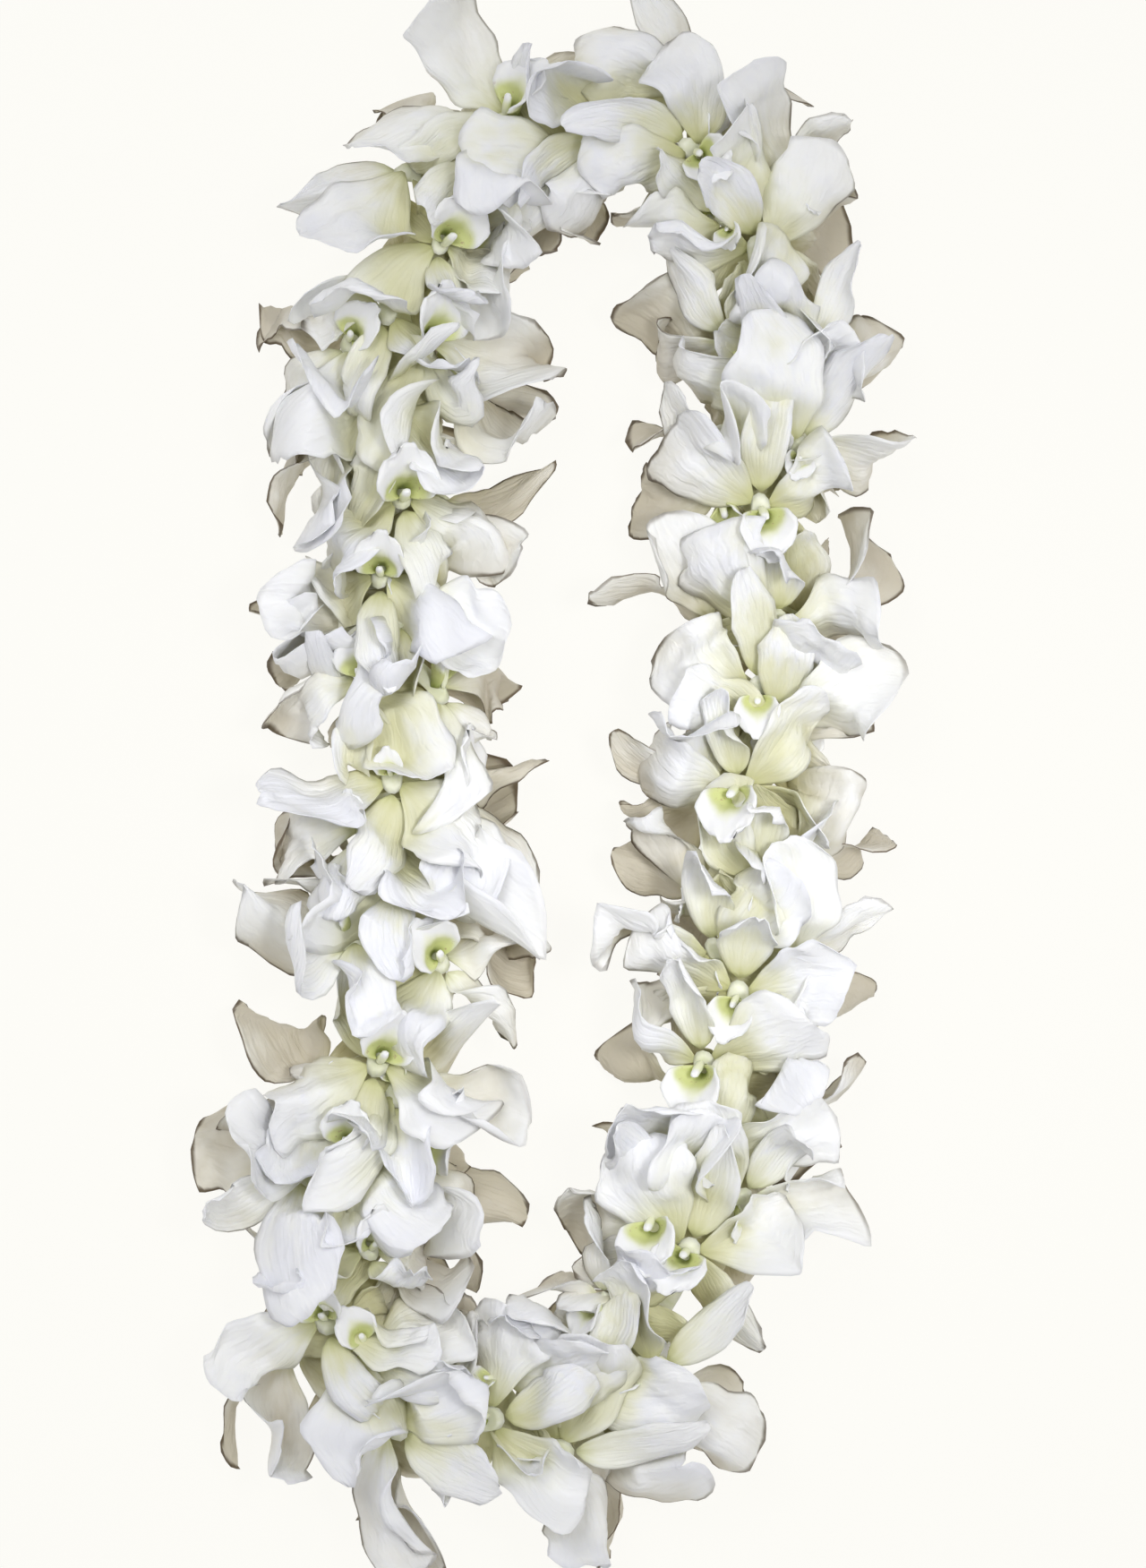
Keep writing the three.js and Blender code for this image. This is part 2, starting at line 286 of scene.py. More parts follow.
# The middle line of a tepal on the nested rule, cut to its true length, with its own curl, bow and twist.
def tepalSpine(tepal, draw, wild):
    kind = tepal["kind"]
    q = np.linspace(0, 1, midline["steps"] + 1)
    heading = tepal["heading"] + wild * blossom["freeHeading"] * draw()
    cos, sin = math.cos(heading), math.sin(heading)

    def line(shift):
        ahead, aside = tepal["reach"] * q, tepal["sweep"] * q**2 + shift
        inward = tepal["startIn"] + ahead * cos - aside * sin
        up = tepal["startUp"] + ahead * sin + aside * cos
        return nestedPoint(tepal["pair"], tepal["layer"] + tepal["rise"] * q, inward, up)

    middle = line(0.0)
    sideways = line(1.0) - line(-1.0)
    lengths = np.concatenate([[0], np.cumsum(np.linalg.norm(np.diff(middle, axis=0), axis=1))])
    wanted = kind["length"] * tepal["reach"] / kind["reach"]
    places = q * (min(lengths[-1], wanted) + midline["slack"] * max(0, lengths[-1] - wanted))
    spine, sideways = (sampled(places, lengths, rows) for rows in (middle, sideways))
    normal = unit(np.cross(sideways, np.gradient(spine, axis=0)))  # towards the blossom's face
    curl = wild * kind["curl"] * (draw() + midline["curlBias"])
    turned, bow = wild * kind["twist"] * draw(), wild * kind["bow"] * draw()
    arch, hinge = midline["arch"] * wild * draw(), varied(midline["hinge"], draw)
    hingeSpan = (hinge - midline["hingeSoftness"], hinge + midline["hingeSoftness"])
    calm = midline["calmest"] + (1 - midline["calmest"]) * ramp(spine[:, 2], *midline["calmHeights"])
    bend = wild * kind["bend"] * draw() * ramp(q, *hingeSpan) * calm
    steps = np.gradient(spine, axis=0)
    stride = np.linalg.norm(steps, axis=1, keepdims=True)
    steps = steps * np.cos(bend)[:, None] + normal * stride * np.sin(bend)[:, None]
    spine = spine[:1] + np.concatenate([[[0, 0, 0]], np.cumsum((steps[1:] + steps[:-1]) / 2, axis=0)])
    lift = (curl * ramp(q, *midline["curlSpan"]) ** midline["curlPower"] + arch * np.sin(math.pi * q)) * calm
    spine = spine + normal * lift[:, None] + unit(sideways) * (bow * q**2)[:, None]
    tangent = unit(np.gradient(spine, axis=0))
    normal = unit(np.cross(sideways, tangent))
    normal[1:] *= np.cumprod(np.where((normal[1:] * normal[:-1]).sum(1) < 0, -1, 1))[:, None]
    for _ in range(midline["evenRounds"]):  # even where the table has bent it hard
        normal[1:-1] = unit((normal[:-2] + 2 * normal[1:-1] + normal[2:]) / 4)
    normal = unit(normal - tangent * (normal * tangent).sum(1, keepdims=True))
    across = np.cross(tangent, normal)
    angle = (turned * q ** midline["twistPower"])[:, None]
    cos, sin = np.cos(angle), np.sin(angle)
    return q, spine, across * cos + normal * sin, normal * cos - across * sin


# Each point a step nearer to the middle of its neighbours.
def blurred(grid):
    for _ in range(2):
        wide = np.concatenate([grid[:1], grid, grid[-1:]])
        grid = ((wide[:-2] + 2 * wide[1:-1] + wide[2:]) / 4).swapaxes(0, 1)
    return grid


ironing = {"rounds": 14, "strength": 3, "sharpest": 0.15}  # the cosine of the sharpest fold that stays


# Smooths a sheet where it is folded more sharply than a petal can be.
def ironed(points):
    for _ in range(ironing["rounds"]):
        cells = unit(np.cross(points[1:, :-1] - points[:-1, 1:], points[1:, 1:] - points[:-1, :-1]) + 1e-9)
        down = (cells[1:] * cells[:-1]).sum(-1) < ironing["sharpest"]
        over = (cells[:, 1:] * cells[:, :-1]).sum(-1) < ironing["sharpest"]
        if not (down.any() or over.any()):
            break
        sharp = np.zeros(points.shape[:2])
        sharp[1:-1, :-1] += down
        sharp[1:-1, 1:] += down
        sharp[:-1, 1:-1] += over
        sharp[1:, 1:-1] += over
        share = np.minimum(1, ironing["strength"] * blurred(np.minimum(sharp, 1)))[..., None]
        points = points + share * (blurred(points) - points)
    return points


# How a tepal's surface varies, in numbers of the same kinds.
skin = {
    "tipSteps": 60,
    "bodyPower": 0.8,
    "cup": (0.35, 0.9),
    "cupBase": 0.3,
    "foldPlace": (0.25, 0.35),
    "foldSoftness": 0.14,
    "foldSpan": (0.15, 0.6),
    "jagCounts": (1.4, 2.6),
    "jagPoint": 0.98,
    "rippleTurns": (1.8, 0.7),
    "rippleSize": (0.7, 0.5),
    "rippleEdge": 2.5,
    "creaseAlong": (0.6, 0.25),
    "creaseAcross": 0.45,
    "creaseStretch": 0.42,
    "creaseSoftness": 0.01,
    "creaseReach": 0.2,
    "creaseSpan": (0.1, 0.5),
    "crumpleCounts": (2.3, 3.7, 5.1),
    "crumpleStretch": 0.45,
    "crumpleBase": 0.6,
    "furrowWidth": 0.09,
}


# The surface of a tepal as a grid with no pole: s runs from root to tip, v from edge to edge.
# Each cross-section is bent in true millimetres: cupped, folded along one side, waved at its edges.
def shapeTepal(tepal, draw):
    kind, wild = tepal["kind"], crumpled(tepal["pair"])
    corner, fill = kind["corner"], kind["fill"]
    s = np.linspace(0, 1, kind["stations"] + 1)[:, None]
    v = np.linspace(-1, 1, kind["lanes"] + 1)[None, :]
    fall = np.linspace(1, corner, skin["tipSteps"])
    tipU = np.interp(np.abs(v) * outline(np.array(corner), fill), outline(fall, fill), fall)
    u, edgeU = s * tipU + kind["point"] * s**6 * (1 - np.abs(v)) ** 2, s * corner
    halfWidth = blossom["rootHalfWidth"] * (1 - edgeU) ** 2 + tepal["halfWidth"] * outline(edgeU, fill)
    q, *directions = tepalSpine(tepal, draw, wild)
    spine, across, normal = (sampled(np.minimum(u, 1), q, rows) for rows in directions)
    cup = kind["cup"] * varied(skin["cup"], draw)
    fold, side, hinge = wild * kind["fold"] * draw(), np.sign(draw()), varied(skin["foldPlace"], draw)
    for count in skin["jagCounts"]:  # edges that aren't quite even
        wave = np.sin(math.tau * count * s + math.pi * draw() + math.pi * draw() * (v > 0))
        halfWidth = halfWidth * (1 + wild * kind["jag"] * s * np.arcsin(skin["jagPoint"] * wave))
    turns, phase, shift = varied(skin["rippleTurns"], draw), math.pi * draw(), math.pi * draw()
    body = np.sin(math.pi * np.clip(u, 0, 1) ** skin["bodyPower"])
    settled = ramp(u, *skin["foldSpan"])
    folded = ramp(side * v, hinge, hinge + skin["foldSoftness"]) * side * settled
    bend = cup * v * (skin["cupBase"] + body) + fold * folded
    step = 2 / kind["lanes"]
    middle = kind["lanes"] // 2
    flat, high = np.cumsum(np.cos(bend) * step, axis=1), np.cumsum(np.sin(bend) * step, axis=1)
    flat, high = (grid - grid[:, middle : middle + 1] for grid in (flat, high))
    lift = halfWidth * high
    ripple = np.sin(math.tau * turns * u + phase + shift * (v > 0))
    edge = np.abs(v) ** skin["rippleEdge"]
    lift += kind["ripple"] * varied(skin["rippleSize"], draw) * u * edge * ripple
    for _ in range(kind["creases"]):
        tilt, middleU = math.pi * draw(), varied(skin["creaseAlong"], draw)
        middleV = skin["creaseAcross"] * draw()
        far = (u - middleU) * math.cos(tilt) + skin["creaseStretch"] * (v - middleV) * math.sin(tilt)
        height = np.sqrt(far**2 + skin["creaseSoftness"] ** 2) - skin["creaseReach"]
        lift += wild * kind["crease"] * draw() * height * ramp(u, *skin["creaseSpan"])
    for count in skin["crumpleCounts"]:
        tilt, start = math.pi * draw(), math.pi * draw()
        wave = u * math.cos(tilt) + skin["crumpleStretch"] * v * math.sin(tilt)
        height = np.abs(np.sin(count * math.pi * wave + start)) - skin["crumpleBase"]
        lift += wild * kind["crumple"] * height * settled
    lift -= kind["furrow"] * np.exp(-((v / skin["furrowWidth"]) ** 2)) * body
    points = spine + across * (halfWidth * flat)[..., None] + normal * lift[..., None]
    order = 2 * tepal["pair"] + tepal["layer"] + (tepal["rise"] + tepal["twist"] * v) * u
    return {
        "points": settle(ironed(points)),
        "along": np.minimum(u, 1),
        "across": v + 0 * u,
        "rim": np.maximum(np.abs(v), s),
        "order": order,
    }


# The point of the thread nearest to each point.
def threadNear(points):
    flat, route = points.reshape(-1, 3), threadPoints[:: strand["nearStep"]]
    nearest = np.argmin(((flat[:, None, :2] - route[None, :, :2]) ** 2).sum(-1), axis=1)
    return route[nearest].reshape(points.shape)


# A sheet's direction at each of its points, towards the blossom's face.
def sheetNormals(points):
    return unit(np.cross(np.gradient(points, axis=1), np.gradient(points, axis=0)) + 1e-9)


# Tepals that were bent into each other move apart again. The rule's order says which one lies in front.
spacing = {
    "rounds": 20,
    "gap": 1.3,
    "reach": 3.0,
    "sureReach": 0.4,  # share of the reach within which the whole gap is asked for
    "step": 2,  # every second row and lane is compared
    "drive": 1.5,
    "most": 0.9,
    "deepest": 3,
    "pairsAhead": 2,
    "heldRoot": (0.05, 0.35),
    "rootsLeft": 0.5,  # points that are nearer to their roots than this, together, may touch
}


def separate(sheets, pairs):
    step, keys = spacing["step"], ("points", "along", "order")
    coarse = [{key: sheet[key][::step, ::step] for key in keys} for sheet in sheets]
    counts = [sheet["order"].size for sheet in coarse]
    ends = np.cumsum(counts)
    spans = list(zip(ends - counts, ends, (sheet["order"].shape for sheet in coarse)))
    owner = np.repeat(np.arange(len(sheets)), counts)
    pairOf = np.array(pairs)[owner]
    points, along, order = (
        np.concatenate([sheet[key].reshape(sheet["order"].size, -1) for sheet in coarse]) for key in keys
    )
    along, order = along[:, 0], order[:, 0]
    free = ramp(along, *spacing["heldRoot"])[:, None]
    first = points.copy()
    members = [np.nonzero(pairOf == pair)[0] for pair in range(strand["pairs"])]
    for _ in range(spacing["rounds"]):
        normals = np.concatenate([
            sheetNormals(points[a:b].reshape(*shape, 3)).reshape(-1, 3) for a, b, shape in spans
        ])
        push, weight = np.zeros_like(points), np.zeros(len(points))
        for pair, own in enumerate(members):
            for ahead in range(spacing["pairsAhead"] + 1):
                other = members[(pair + ahead) % len(members)]
                wrap = 2 * len(members) if pair + ahead >= len(members) else 0
                mine, theirs = points[own], points[other]
                near = (mine**2).sum(1)[:, None] + (theirs**2).sum(1)[None] - 2 * mine @ theirs.T
                i, j = np.nonzero(near < spacing["reach"] ** 2)
                i, j = own[i], other[j]
                keep = (order[i] < order[j] + wrap) & (owner[i] != owner[j])
                keep &= along[i] + along[j] > spacing["rootsLeft"]
                i, j = i[keep], j[keep]
                apart = points[i] - points[j]
                direction = unit(normals[i] + normals[j] + 1e-6)
                clear = (apart * direction).sum(1)
                beside = np.sqrt(np.maximum((apart**2).sum(1) - clear**2, 0))
                share = 1 - ramp(beside, spacing["sureReach"] * spacing["reach"], spacing["reach"])
                lacking = np.clip(spacing["gap"] - clear, 0, spacing["deepest"])
                move = direction * (lacking * share * 0.5)[:, None]
                for index, sign in ((i, 1), (j, -1)):
                    np.add.at(push, index, sign * move)
                    np.add.at(weight, index, share * (clear < spacing["gap"]))
        push /= np.maximum(weight, 1)[:, None]
        for a, b, shape in spans:
            push[a:b] = blurred(push[a:b].reshape(*shape, 3)).reshape(-1, 3)
        size = np.linalg.norm(push, axis=1, keepdims=True)
        held = np.minimum(1, spacing["most"] / np.maximum(size, 1e-6))
        points = points + spacing["drive"] * free * push * held
    for sheet, (a, b, (rows, lanes)) in zip(sheets, spans):
        moved = (points - first)[a:b].reshape(rows, lanes, 3)
        fineRows, fineLanes = sheet["order"].shape
        down, over = np.arange(fineRows) / step, np.arange(fineLanes) / step
        for axis in range(3):
            tall = np.stack([np.interp(down, np.arange(rows), lane) for lane in moved[..., axis].T], axis=1)
            full = np.stack([np.interp(over, np.arange(lanes), row) for row in tall])
            sheet["points"][..., axis] += full
        sheet["points"] = settle(ironed(sheet["points"]))


# The chins and ovaries that a pair is strung through, closed at both ends.
chin = {
    "sides": 10,
    "middle": (1, 2.3, 0),
    # Each ring's layer, its radius, and its share of the way out to the throat, on the first blossom.
    "rings": [(0.44, 0.4, 1), (0.46, 1.6, 1), (0.54, 2.7, 1), (0.68, 2.8, 0.9), (0.85, 2.5, 0.4)],
}


def chinPoints(pair, facings):
    angles = np.arange(chin["sides"]) * math.tau / chin["sides"]
    mirrored = [(2 - layer, radius, share) for layer, radius, share in reversed(chin["rings"])]
    rings = []
    for layer, radius, share in [*chin["rings"], chin["middle"], *mirrored]:
        facing, offset = facings[layer > 1], throat * share
        inward = offset * math.cos(facing) + radius * np.cos(angles)
        up = offset * math.sin(facing) + radius * np.sin(angles)
        rings.append(nestedPoint(pair, layer + 0 * angles, inward, up))
    points = np.array(rings)
    count, sides = points.shape[:2]
    index = np.arange(count * sides).reshape(count, sides)
    after = np.roll(index, -1, axis=1)
    quads = np.stack([index[:-1], after[:-1], after[1:], index[1:]], axis=-1).reshape(-1, 4)
    return points.reshape(-1, 3), [*quads.tolist(), index[0, ::-1].tolist(), index[-1].tolist()]


def objectFrom(name, data):
    made = bpy.data.objects.new(name, data)
    bpy.context.scene.collection.objects.link(made)
    return made


# A mesh from places in millimetres, with a number or a vector kept at each for every mark.
def meshObject(name, points, faces=(), marks=None, edges=()):
    mesh = bpy.data.meshes.new(name)
    mesh.from_pydata((np.asarray(points) * metre).tolist(), edges, faces)
    for label, values in (marks or {}).items():
        values = np.asarray(values, np.float32)
        kind, key = ("FLOAT", "value") if values.ndim == 1 else ("FLOAT_VECTOR", "vector")
        mesh.attributes.new(label, kind, "POINT").data.foreach_set(key, values.ravel())
    mesh.shade_smooth()
    return objectFrom(name, mesh)


def arithmetic(operation, reflected=False):
    def apply(self, other):
        values = (other, self) if reflected else (self, other)
        return self.tree.math(operation, *values)

    return apply


# A socket with arithmetic: an expression on these adds its Math nodes to the tree.
class Wire:
    def __init__(self, tree, socket):
        self.tree, self.socket = tree, socket

    __add__, __radd__ = arithmetic("ADD"), arithmetic("ADD", True)
    __sub__, __rsub__ = arithmetic("SUBTRACT"), arithmetic("SUBTRACT", True)
    __mul__, __rmul__ = arithmetic("MULTIPLY"), arithmetic("MULTIPLY", True)
    __truediv__, __rtruediv__ = arithmetic("DIVIDE"), arithmetic("DIVIDE", True)
    __pow__, __rpow__ = arithmetic("POWER"), arithmetic("POWER", True)
    __gt__, __lt__ = arithmetic("GREATER_THAN"), arithmetic("LESS_THAN")

    def __abs__(self):
        return self.tree.math("ABSOLUTE", self)


class Tree:
    def __init__(self, tree, owner=None):
        self.tree, self.owner = tree, owner
        tree.nodes.clear()

    def add(self, kind, settings=None, sockets=None, output=0):
        node = self.tree.nodes.new(kind)
        for key, value in (settings or {}).items():
            setattr(node, key, value)
        for key, value in (sockets or {}).items():
            for one in value if isinstance(value, list) else [value]:
                if isinstance(one, Wire):
                    self.tree.links.new(one.socket, node.inputs[key])
                else:
                    node.inputs[key].default_value = one
        return Wire(self, node.outputs[output] if node.outputs else None)

    def math(self, operation, *values):
        return self.add("ShaderNodeMath", {"operation": operation}, dict(enumerate(values)))

    def ramp(self, value, low, high, smooth=True):  # 0 below low, 1 above high
        kind = "SMOOTHSTEP" if smooth else "LINEAR"
        return self.add("ShaderNodeMapRange", {"interpolation_type": kind}, {0: value, 1: low, 2: high})

    def vector(self, *parts):
        return self.add("ShaderNodeCombineXYZ", None, dict(enumerate(parts)))

    def part(self, vector, axis):
        return self.add("ShaderNodeSeparateXYZ", None, {0: vector}, axis)

    def mix(self, factor, first, second, blend="MIX"):
        ends = [(*c, 1) if isinstance(c, tuple) else c for c in (first, second)]
        settings = {"data_type": "RGBA", "blend_type": blend}
        return self.add("ShaderNodeMix", settings, {0: factor, 6: ends[0], 7: ends[1]}, 2)

    def scaled(self, vector, factor):
        return self.add("ShaderNodeVectorMath", {"operation": "SCALE"}, {0: vector, "Scale": factor})

    def noise(self, place, scale, detail=2.0):
        return self.add("ShaderNodeTexNoise", None, {"Vector": place, "Scale": scale, "Detail": detail})

    def bump(self, strength, distance, height):
        sockets = {"Strength": strength, "Distance": distance, "Height": height}
        return self.add("ShaderNodeBump", None, sockets)

    def moved(self, geometry, **where):
        return self.add("GeometryNodeSetPosition", None, {"Geometry": geometry, **where})

    def joined(self, *parts):
        return self.add("GeometryNodeJoinGeometry", None, {"Geometry": list(parts)})

    def objectPlace(self):
        return self.add("ShaderNodeTexCoord", None, None, 3)

    def marked(self, label):  # a number kept at each point of the mesh
        return self.add("ShaderNodeAttribute", {"attribute_name": label}, None, 2)


def startMaterial(name):
    made = bpy.data.materials.new(name)
    made.use_nodes = True
    return Tree(made.node_tree, made)


# Light that goes a little way into a petal, blue the least.
def waxy(weight, blue, scale):
    return {"Subsurface Weight": weight, "Subsurface Radius": (1.0, 1.0, blue), "Subsurface Scale": scale}


def endMaterial(tree, colour, roughness, normal, constants):
    looks = {"Base Color": colour, "Roughness": roughness, "Normal": normal, **constants}
    shader = tree.add("ShaderNodeBsdfPrincipled", None, looks)
    tree.add("ShaderNodeOutputMaterial", None, {"Surface": shader})
    return tree.owner


petalLook = {
    "white": (0.955, 0.962, 0.985),
    "shade": (0.885, 0.895, 0.955),  # the faint blue grey of thick places
    "ivoryShade": (0.94, 0.94, 0.895),  # painted shade below the top of the strand
    "lowShade": (0.58, 0.525, 0.425),  # painted shade on petals low at the sides
    "root": (0.85, 0.87, 0.65),
    "cream": (0.925, 0.93, 0.81),
    "deepShade": (0.73, 0.715, 0.50),  # painted shade deep between the blossoms
    # painted shade: a dark rim, strong on the low petals far from the thread
    "edge": (0.10, 0.065, 0.03),
    "whiteHeights": (0.030, 0.050),  # metres above the table
    "lowShadeHeights": (0.017, 0.040),
    "rimShadeHeights": (0.026, 0.046),
    "rimShadeDepths": (0.6, 0.85),  # how far out from the thread
    "deepShadeDepths": (0.27, 0.66),
    "rim": (0.935, 0.985),
    "veins": 17.0,
    "veinDepth": 0.00012,
    "crinkle": 1.5,  # times the vein's depth
    "constants": {**waxy(0.25, 0.85, 0.0009), "Specular IOR Level": 0.35},
}


def petalMaterial():
    look = petalLook
    tree = startMaterial("fresh_petal")
    along, across, tone, depth, rim = map(tree.marked, ("along", "across", "tone", "depth", "rim"))
    place = tree.objectPlace()
    height = tree.part(place, 2)
    blotch = tree.noise(tree.vector(across * 1.3 + tone * 31, along * 2.6, tone * 17), 1.6)
    patch, shift = blotch - 0.5, tone - 0.5
    fine = tree.noise(place, 900.0, 3.0)
    wander = tree.noise(tree.vector(across * 2 + tone * 9, along * 5, 0.0), 2.0)
    lanes = (across + (wander - 0.5) * 0.16) * look["veins"]
    veined = tree.ramp(along, 0.1, 0.3) * (1 - tree.ramp(along, 0.72, 1.0))
    vein = abs(tree.math("SINE", lanes)) ** 6 * veined
    # From white at the top of the strand to cream in its middle and beige beside the table, as painted shade;
    # the cream is partly the inner parts' own colour.
    colour = tree.mix(tree.ramp(blotch + shift * 0.5, 0.35, 0.75), look["white"], look["shade"])
    colour = tree.mix(vein * 0.12, colour, look["shade"])
    unevenHeight = height + patch * 0.012
    # Painted shade: ivory where the petals lie below the top of the strand.
    colour = tree.mix((1 - tree.ramp(unevenHeight, *look["whiteHeights"])) * 0.75, colour, look["ivoryShade"])
    # Cream near the thread: partly the inner parts' own cream, partly painted shade of the deeper layers.
    farOut = along * 0.4 + depth * 0.75 + patch * 0.5 + shift * 0.3
    colour = tree.mix((1 - tree.ramp(farOut, 0.38, 0.88)) * 0.8, colour, look["cream"])
    colour = tree.mix(1 - tree.ramp(along + patch * 0.1, 0.02, 0.18), colour, look["root"])
    # Painted shade: darker deep between the blossoms, near the thread.
    deep = 1 - tree.ramp(depth + patch * 0.2, *look["deepShadeDepths"])
    colour = tree.mix(deep, colour, look["deepShade"], "MULTIPLY")
    # Painted shade: beige on the petals low beside the table.
    low = 1 - tree.ramp(unevenHeight, *look["lowShadeHeights"])
    colour = tree.mix(low * 0.9, colour, look["lowShade"], "MULTIPLY")
    # Painted shade: a dark rim on the low petals far out from the thread, faint on every other petal.
    rimShaded = (1 - tree.ramp(height, *look["rimShadeHeights"])) * tree.ramp(depth, *look["rimShadeDepths"])
    colour = tree.mix(tree.ramp(rim, *look["rim"]) * (0.06 + 0.84 * rimShaded), colour, look["edge"])
    drawn = tree.noise(tree.vector(across * 2.0 + tone * 13, along * 1.7 + tone * 7, tone * 5), 1.9)
    crinkle = 1 - tree.ramp(abs(drawn - 0.5), 0.0, 0.09, False)
    crinkle = crinkle * tree.ramp(along, 0.25, 0.55)
    relief = vein * -1.0 + fine * 0.6 + blotch * 1.5 + crinkle * look["crinkle"]
    bumpy = tree.bump(0.7, look["veinDepth"], relief)
    return endMaterial(tree, colour, 0.42 + fine * 0.16, bumpy, look["constants"])


lipLook = {
    "white": (0.93, 0.935, 0.94),
    "cream": (0.86, 0.88, 0.66),
    "green": (0.66, 0.70, 0.33),
    # the throat's own green, darkest at its root as painted shade
    "deep": (0.30, 0.35, 0.09),
    "speck": (0.42, 0.28, 0.20),
    "constants": {**waxy(0.3, 0.8, 0.0015), "Specular IOR Level": 0.35},
}


# The attribute along is 0 to 1 on a lip, from its throat outwards, and 1.5 to 2.5 on the column over it.
def lipMaterial():
    look = lipLook
    tree = startMaterial("lip_and_column")
    along, across = map(tree.marked, ("along", "across"))
    place = tree.objectPlace()
    fine = tree.noise(place, 700.0, 3.0)
    blotch = tree.noise(place, 160.0)
    far = abs(across)
    reach = along + (blotch - 0.5) * 0.18 + far * 0.12
    # The throat's own green, darkened at its root as painted shade deep in the tube.
    colour = tree.mix(tree.ramp(reach, 0.1, 0.34), look["deep"], look["green"])
    colour = tree.mix(tree.ramp(reach, 0.4, 0.68), colour, look["cream"])
    colour = tree.mix(tree.ramp(reach + far * 0.25, 0.6, 0.85), colour, look["white"])
    specks = tree.ramp(fine, 0.62, 0.7) * (1 - tree.ramp(along, 0.25, 0.5)) * 0.6
    colour = tree.mix(specks, colour, look["speck"])
    column = tree.mix(tree.ramp(along, 2.1, 2.35), look["cream"], look["white"])
    colour = tree.mix(along > 1.2, colour, column)
    bumpy = tree.bump(0.5, 0.00015, fine + blotch)
    return endMaterial(tree, colour, 0.4 + fine * 0.15, bumpy, look["constants"])


def chinMaterial():
    tree = startMaterial("green_chin")
    blotch = tree.noise(tree.objectPlace(), 220.0, 3.0)
    colour = tree.mix(tree.ramp(blotch, 0.35, 0.7), (0.78, 0.80, 0.58), (0.90, 0.91, 0.77))
    bumpy = tree.bump(0.4, 0.0003, blotch)
    return endMaterial(tree, colour, 0.45 + blotch * 0.1, bumpy, waxy(0.2, 0.8, 0.001))


def cottonMaterial():
    tree = startMaterial("cotton")
    fuzz = tree.noise(tree.objectPlace(), 2500.0, 3.0)
    colour = tree.mix(fuzz, (0.70, 0.68, 0.62), (0.90, 0.89, 0.85))
    return endMaterial(tree, colour, 0.8 + fuzz * 0.15, tree.bump(0.8, 0.0001, fuzz), {"Sheen Weight": 0.3})


petalWhite = petalMaterial()
print("materials: petal")


def named(tree, label, kind="FLOAT"):
    return tree.add("GeometryNodeInputNamedAttribute", {"data_type": kind}, {"Name": label})


def stored(tree, geometry, label, value):
    settings = {"data_type": "FLOAT", "domain": "POINT"}
    sockets = {"Geometry": geometry, "Name": label, "Value": value}
    return tree.add("GeometryNodeStoreNamedAttribute", settings, sockets)


# A tree with a geometry, named sizes and a material as its inputs.
def startGroup(name, sizes):
    group = bpy.data.node_groups.new(name, "GeometryNodeTree")

    def socket(label, kind, way="INPUT"):
        return group.interface.new_socket(label, in_out=way, socket_type="NodeSocket" + kind)

    socket("Geometry", "Geometry")
    for label, value in sizes.items():
        socket(label, "Float").default_value = value
    socket("Material", "Material")
    socket("Geometry", "Geometry", "OUTPUT")
    tree = Tree(group)
    inputs = group.nodes.new("NodeGroupInput")
    return tree, [Wire(tree, inputs.outputs[i]) for i in range(len(sizes) + 2)]


def endGroup(tree, geometry, finish):
    real = tree.add("GeometryNodeRealizeInstances", None, {"Geometry": geometry})
    smooth = tree.add("GeometryNodeSetShadeSmooth", None, {"Geometry": real})
    done = tree.add("GeometryNodeSetMaterial", None, {"Geometry": smooth, "Material": finish})
    tree.add("NodeGroupOutput", None, {0: done})
    return tree.tree


# Turns an open sheet into a closed one, half its depth to each side.
def thicken(tree, sheet, depth):
    capture = tree.tree.nodes.new("GeometryNodeCaptureAttribute")
    capture.capture_items.new("VECTOR", "Normal")
    tree.tree.links.new(sheet.socket, capture.inputs[0])
    normal = tree.add("GeometryNodeInputNormal")
    tree.tree.links.new(tree.scaled(normal, depth).socket, capture.inputs[1])
    kept, step = Wire(tree, capture.outputs[0]), Wire(tree, capture.outputs[1])
    low = tree.moved(kept, Offset=tree.scaled(step, -0.5))
    raised = tree.add("GeometryNodeExtrudeMesh", {"mode": "FACES"}, {
        "Mesh": low, "Offset": step, "Offset Scale": 1.0, "Individual": False,
    })
    under = tree.add("GeometryNodeFlipFaces", None, {"Mesh": low})
    closed = {"Geometry": tree.joined(raised, under), "Distance": 2e-6}
    return tree.add("GeometryNodeMergeByDistance", None, closed)


tepalSizes = {"Thickness": 0.00045, "Edge Share": 0.4}


# A tepal is thinner towards its edges and its tip.
def tepalTree():
    tree, (sheet, thickness, edgeShare, finish) = startGroup("tepal thickness", tepalSizes)
    tip = tree.ramp(named(tree, "along"), 0.85, 1.0)
    thin = tree.math("MAXIMUM", abs(named(tree, "across")) ** 4, tip)
    depth = thickness * (1 - (1 - edgeShare) * thin) * named(tree, "bulk")
    return endGroup(tree, thicken(tree, sheet, depth), finish)


lipSizes = {"Length": 0.019, "Droop": 0.007, "Ruffle": 0.0014}
lipShape = {
    "rows": 17,
    "lanes": 15,
    "spread": (0.0045, 0.0065, 0.0085),  # at the root, what the side lobes add, what the tip loses
    "wrap": (2.6, 1.1, 1.2),  # radians at the root, less past it, less again at the tongue
    "keel": 0.0003,
    "thickness": 0.0006,
}
column = {"centre": (0.0042, 0.0, 0.0042), "halfSize": (0.0045, 0.0016, 0.0012), "capFlare": 0.35}


